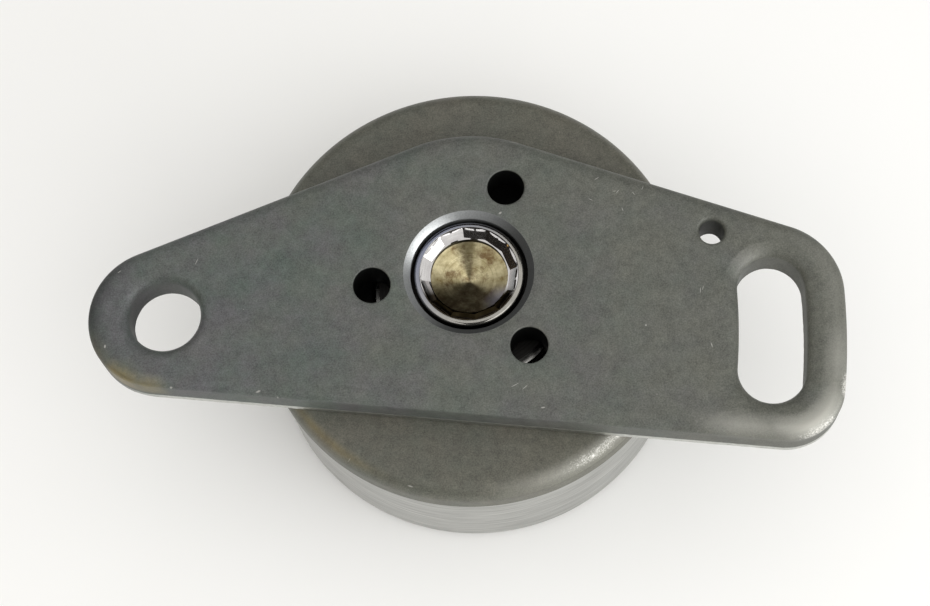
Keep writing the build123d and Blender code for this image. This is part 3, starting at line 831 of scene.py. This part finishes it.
def phosphate(name, green, mauve, warm, face_level, marks):
    """Dark phosphated steel in three clouded tones. Its wear, painted glints and painted
    shade come from the attributes listed above it, as far as the piece has them: where
    one is missing it reads 0."""
    material, add = new_material(name)
    here = add("TexCoord").outputs["Object"]
    worn, burnished, bronzed, torn, bored, oiled, ground, roll = [
        add("Attribute", attribute_name=key).outputs["Fac"] for key in WEAR
    ]

    # two cool tones in clouds 9 mm wide, and the warm one towards the slot's end
    axes = add("SeparateXYZ", {0: here})
    along = add("MapRange", {"Value": axes, 1: -50 * MM, 2: 50 * MM})
    cloud = add("TexNoise", {
        "Vector": here, "Scale": 1 / (9 * MM), "Detail": 5.0, "Roughness": 0.65,
    })
    tones = add("SeparateColor", {"Color": cloud.outputs["Color"]})
    hue = add("MapRange", {"Value": tones, 1: 0.38, 2: 0.62})
    warmth = add("Math", {0: tones.outputs[1], 1: 1.6, 2: -0.8}, operation="MULTIPLY_ADD")
    warmth = add("Math", {0: warmth, 1: along}, operation="ADD", use_clamp=True)
    colour = add("Mix", {0: hue, 6: linear(green), 7: linear(mauve)}, data_type="RGBA")
    colour = add("Mix", {0: warmth, 6: colour, 7: linear(warm)}, data_type="RGBA")
    # mottling from 1.8 mm down to a tenth of it, and the grain of the skin at 0.2 mm
    mottle = add("TexNoise", {
        "Vector": here, "Scale": 1 / (1.8 * MM), "Detail": 7.0, "Roughness": 0.8,
    })
    grain = add("TexNoise", {"Vector": here, "Scale": 1 / (0.2 * MM), "Detail": 2.0})
    both = add("Math", {0: mottle, 1: grain}, operation="ADD")
    level = add("MapRange", {"Value": both, 1: 0.6, 2: 1.4, 3: 0.48, 4: 1.52})
    skin = add("VectorMath", {0: colour, "Scale": level}, operation="SCALE")

    # the torn strip is bare but coarse, in grains 0.5 mm wide. Grinding streaks on the
    # belt's path are noise squeezed to 0.5 mm high and 9 mm long, a little aslant.
    torn_grain = add("TexNoise", {"Vector": here, "Scale": 1 / (0.5 * MM), "Detail": 3.0})
    squeeze = add("Mapping", {
        "Vector": here, "Scale": (0.11 / MM, 0.11 / MM, 2.0 / MM), "Rotation": (0.1, 0.06, 0),
    })
    streak = add("TexNoise", {"Vector": squeeze, "Scale": 1.0, "Detail": 5.0, "Roughness": 0.65})
    torn_steel, ground_steel, bored_steel = [
        add("Mix", {0: pattern, 6: linear(dark), 7: linear(light)}, data_type="RGBA")
        for pattern, dark, light in (
            (torn_grain, "#a3a49f", "#dfe0db"), (streak, "#4c4d4a", "#e3e3df"),
            (grain, "#a2a5a6", "#d2d5d5"),
        )
    ]
    bronze_break = add("MapRange", {"Value": mottle, 1: 0.3, 2: 0.6, 3: 0.3, 4: 0.75})
    bronze = add("Math", {0: bronzed, 1: bronze_break}, operation="MULTIPLY", use_clamp=True)

    # bare steel: rubbed corners and painted glints break up with the grain, dots and nicks are few
    rubbed = add("Math", {0: worn, 1: both, 2: -0.62}, operation="MULTIPLY_ADD")
    rubbed = add("MapRange", {"Value": rubbed, 1: 0.0, 2: 0.3})
    dots = add("Math", {0: speckle(add, here, 0.22, 0.05), 1: 0.22}, operation="MULTIPLY")
    small = add("Math", {0: nicks(add, here, face_level, marks), 1: 0.55}, operation="MULTIPLY")
    small = add("Math", {0: small, 1: dots}, operation="MAXIMUM")
    bare = add("Math", {0: rubbed, 1: small}, operation="MAXIMUM")

    # one finish lies over the other: painted sheen and glints lighten, and painted shade turns the walls
    # of the holes black
    colour = skin
    for share, over in (
        (torn, torn_steel),
        # the plate's bronze tint, and the pulley's painted warm glint
        (bronze, linear("#998c66")),
        (burnished, linear("#cccbc2")),
        (ground, ground_steel),
        (bored, bored_steel),
        (oiled, linear("#111211")),
        (bare, linear("#d2d1cb")),
    ):
        colour = add("Mix", {0: share, 6: colour, 7: over}, data_type="RGBA")
    metal = add("Math", {0: roll, 1: 0.18}, operation="MULTIPLY")
    for share in (bare, ground, bronze, torn, bored, burnished):
        metal = add("Math", {0: metal, 1: share}, operation="MAXIMUM")
    metal = add("Math", {0: metal, 1: oiled}, operation="SUBTRACT", use_clamp=True)
    rough = add("MapRange", {"Value": metal, 3: 0.52, 4: 0.34})
    shine = add("MapRange", {"Value": oiled, 3: 0.5, 4: 0.12})
    height = add("Math", {0: both, 1: small}, operation="SUBTRACT")
    bump = add("Bump", {"Height": height, "Strength": 0.35, "Distance": 0.05 * MM})
    steel = add("BsdfPrincipled", {
        "Base Color": colour, "Metallic": metal, "Roughness": rough,
        "Normal": bump, "Specular IOR Level": shine,
    })
    add("OutputMaterial", {"Surface": steel})
    print(name, "has", len(material.node_tree.nodes), "nodes")
    return material


# %% Marks of the plate and the pulley
# each mark is x, y, bearing, length and width, in mm and degrees
plate_marks = [
    (-51.2, -3.6, 80, 0.5, 0.28), (-48.4, 7.1, 30, 0.6, 0.12), (-37.5, 7.0, 60, 1.0, 0.1),
    (-42.7, -10.6, 0, 0.5, 0.25), (-30.8, -13.0, 10, 0.7, 0.25), (-28.3, -14.1, 0, 0.4, 0.3),
    (-8.0, -19.4, 0, 0.5, 0.25), (7.4, -20.9, 0, 0.6, 0.2), (31.2, -7.4, 75, 0.9, 0.1),
    (31.6, -7.1, 70, 0.7, 0.09), (23.0, -11.3, 0, 0.28, 0.28), (31.4, -15.4, 100, 0.7, 0.14),
    (4.1, -17.2, 20, 1.3, 0.1), (5.4, -17.7, 35, 1.0, 0.1), (9.8, 18.5, -8, 3.2, 0.1),
    (5.5, 8.0, 30, 0.5, 0.3),
]
# seven faint scratches more, scattered near the upper right vent hole
shake = np.random.default_rng(11)
plate_marks += [
    (19.5 + 4 * dx, 9.0 + 1.6 * dy, 180 * turn, 0.3 + 0.6 * long, 0.1)
    for dx, dy, turn, long in np.column_stack([shake.normal(size=(7, 2)), shake.random((7, 2))])
]
pulley_marks = [
    (-12.0, -27.4, -25, 0.9, 0.2), (-20.0, -22.5, 40, 0.8, 0.12), (16.0, -24.5, 10, 0.7, 0.12),
]
tensioner_plate.data.materials.append(
    phosphate("phosphated_stamped_steel", "#4f5953", "#575759", "#5e5f57", PLATE_TOP, plate_marks))
idler_pulley.data.materials.append(
    phosphate("phosphated_turned_steel", "#52564e", "#5a5951", "#605e53", PULLEY_TOP, pulley_marks))

# %% [markdown]
# ## Bright steels
#
# The bearing rings are ground, the socket is polished, and the drilled cone inside it
# carries a straw-coloured film. Its near half, and the socket's, get painted shade, a
# dark brown that stands for their reflection of the dark room. A lathe or a grinding
# wheel leaves fine grooves round the axis. They spread a reflection across themselves,
# so light turns into wedges on the cone. That is anisotropy, with the tangent running
# round the axis.
#
# All of these are one graph with other numbers.


# %% Turned, ground and polished steel
def bright_steel(name, dark, light, pitch, rough, stretch, depth,
                 lined=0.55, film="#c9c8c5", stain=0.0):
    """Bare steel with grooves round the axis, pitch apart and depth deep in mm. They
    are noise on (radius, height), and lined is their share against clouds 1.4 mm wide.
    stain is the strength of brown blots 2.2 mm wide. Where a piece stores painted shade,
    a dark brown darkens it, and where it stores film, it takes the film's colour."""
    material, add = new_material(name)
    here = add("TexCoord").outputs["Object"]
    axes = add("SeparateXYZ", {0: here})
    flat = add("CombineXYZ", {0: axes, 1: axes.outputs[1]})
    radius = add("VectorMath", {0: flat}, operation="LENGTH")
    both = add("CombineXYZ", {0: radius, 1: axes.outputs[2]})
    groove = add("TexNoise", {"Vector": both, "Scale": 1 / (pitch * MM), "Detail": 3.0})
    cloud = add("TexNoise", {"Vector": here, "Scale": 1 / (1.4 * MM), "Detail": 4.0, "Roughness": 0.6})
    mix = add("Math", {0: groove, 1: lined}, operation="MULTIPLY")
    mix = add("Math", {0: cloud, 1: 1 - lined, 2: mix}, operation="MULTIPLY_ADD")
    fade = add("MapRange", {"Value": mix, 1: 0.35, 2: 0.65})
    colour = add("Mix", {0: fade, 6: linear(dark), 7: linear(light)}, data_type="RGBA")
    blots = add("TexNoise", {"Vector": here, "Scale": 1 / (2.2 * MM), "Detail": 5.0, "Roughness": 0.7})
    stained = add("MapRange", {"Value": blots, 1: 0.47, 2: 0.6, 3: 0.0, 4: stain})
    oily, filmed = [
        add("Attribute", attribute_name=key).outputs["Fac"] for key in ("oil", "film")
    ]
    # the second colour is painted shade, a dark brown wherever a piece stores it
    for share, over in ((stained, "#6e5236"), (oily, "#3b342a"), (filmed, film)):
        colour = add("Mix", {0: share, 6: colour, 7: linear(over)}, data_type="RGBA")
    dull = add("MapRange", {"Value": cloud, 1: 0.3, 2: 0.7, 3: rough * 0.8, 4: rough * 1.25})
    bump = add("Bump", {"Height": groove, "Strength": 0.4, "Distance": depth * MM})
    grain = add("Tangent", direction_type="RADIAL", axis="Z")
    steel = add("BsdfPrincipled", {
        "Base Color": colour, "Metallic": 1.0, "Roughness": dull,
        "Normal": bump, "Anisotropic": stretch, "Anisotropic Rotation": 0.25,
        "Tangent": grain,
    })
    add("OutputMaterial", {"Surface": steel})
    return material


# %% Finishes of the stud
stud_finishes = [  # in the order of their numbers
    # turned and left bare: a soft grey with rings that just show
    bright_steel(
        "turned_stud_steel", "#77746e", "#8f8d88", pitch=0.3, rough=0.3, stretch=0.3, depth=0.01),
    # pressed and polished: nearly a mirror, so its facets are white or black
    bright_steel(
        "polished_socket_steel", "#c9c6c6", "#e0dedd", pitch=0.5, rough=0.09, stretch=0.0,
        depth=0.0006),
    # drilled, with a straw film of oxide and brown blots: gold that turns to wedges of light
    bright_steel(
        "straw_drilled_steel", "#93845a", "#ebe0b6", pitch=0.2, rough=0.34, stretch=0.9,
        depth=0.0012, lined=0.3, film="#a9a8b8", stain=0.75),
    # faced and polished less finely: a clean ring, bluish on its far side
    bright_steel(
        "polished_lip_steel", "#a3a19b", "#bbb8b1", pitch=0.4, rough=0.16, stretch=0.0,
        depth=0.001, lined=0.3, film="#8c90a2"),
    # turned steel painted near black: painted shade in the gap round the lip, on the pocket's wall and
    # in a fine line in the lip
    bright_steel(
        "oily_neck_steel", "#1b1a19", "#262422", pitch=0.3, rough=0.4, stretch=0.0, depth=0.01),
]
for finish in stud_finishes:
    turned_stud.data.materials.append(finish)
# the faces come in rows, and the two poles' last
index = np.repeat([*row_finish[1:], CONE, TURNED], STUD_SEGMENTS)
turned_stud.data.polygons.foreach_set("material_index", index.astype(np.int32))
turned_stud.data.update()
print("faces of each stud finish:", np.bincount(index))

# %% [markdown]
# ## The carried-over pieces
#
# The rings, the seals and their cores, the balls, the cage and the spacer have the
# right shape already. They keep their meshes and only get their finishes. The seals
# are nitrile rubber, which is nearly black and matt with a faint moulded grain.

# %% Rubber
# moulded nitrile rubber: a dull black with bloom in clouds 5 mm wide, grain 0.3 mm wide
nitrile, add = new_material("nitrile_rubber")
here = add("TexCoord").outputs["Object"]
grain = add("TexNoise", {"Vector": here, "Scale": 1 / (0.3 * MM), "Detail": 3.0})
bloom = add("TexNoise", {"Vector": here, "Scale": 1 / (5 * MM), "Detail": 3.0})
colour = add("Mix", {0: bloom, 6: linear("#141413"), 7: linear("#262524")}, data_type="RGBA")
rough = add("MapRange", {"Value": grain, 1: 0.3, 2: 0.7, 3: 0.5, 4: 0.7})
bump = add("Bump", {"Height": grain, "Strength": 0.3, "Distance": 0.03 * MM})
soft = add("BsdfPrincipled", {"Base Color": colour, "Roughness": rough, "Normal": bump, "IOR": 1.52})
add("OutputMaterial", {"Surface": soft})
print("made", nitrile.name)

# %% Finishes for the carried-over nodes
carried = [
    # ground: bright, with fine rings that stretch the highlights
    (["inner_ring", "outer_ring"], bright_steel(
        "ground_bearing_steel", "#b5b4b0", "#d0cfcb", pitch=0.12, rough=0.22, stretch=0.5, depth=0.004)),
    # black oxide on turned steel: a dark, dull edge in the vent holes
    (["spacer_washer"], bright_steel(
        "blackened_spacer_steel", "#2b2a29", "#3a3937", pitch=0.25, rough=0.45, stretch=0.2,
        depth=0.01)),
    # cold-rolled strip: plain mid grey
    (["upper_seal_core", "lower_seal_core"], bright_steel(
        "rolled_core_steel", "#8a8985", "#9c9b97", pitch=0.5, rough=0.35, stretch=0.0, depth=0.005)),
    # pressed strip: grey with a soft shine
    (["cage_upper", "cage_lower", "cage_rivets"], bright_steel(
        "pressed_cage_steel", "#8d8a84", "#a5a29b", pitch=0.6, rough=0.32, stretch=0.0, depth=0.008)),
    # lapped: a mirror
    ([f"ball_{k}" for k in range(1, 9)], bright_steel(
        "polished_ball_steel", "#cfcecb", "#e0dfdc", pitch=0.8, rough=0.07, stretch=0.0, depth=0.001)),
    (["upper_seal", "lower_seal"], nitrile),
]
for node_names, finish in carried:
    for node_name in node_names:
        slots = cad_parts[node_name].data.materials
        slots.clear()
        slots.append(finish)
print("carried over:", sum(len(node_names) for node_names, _ in carried))
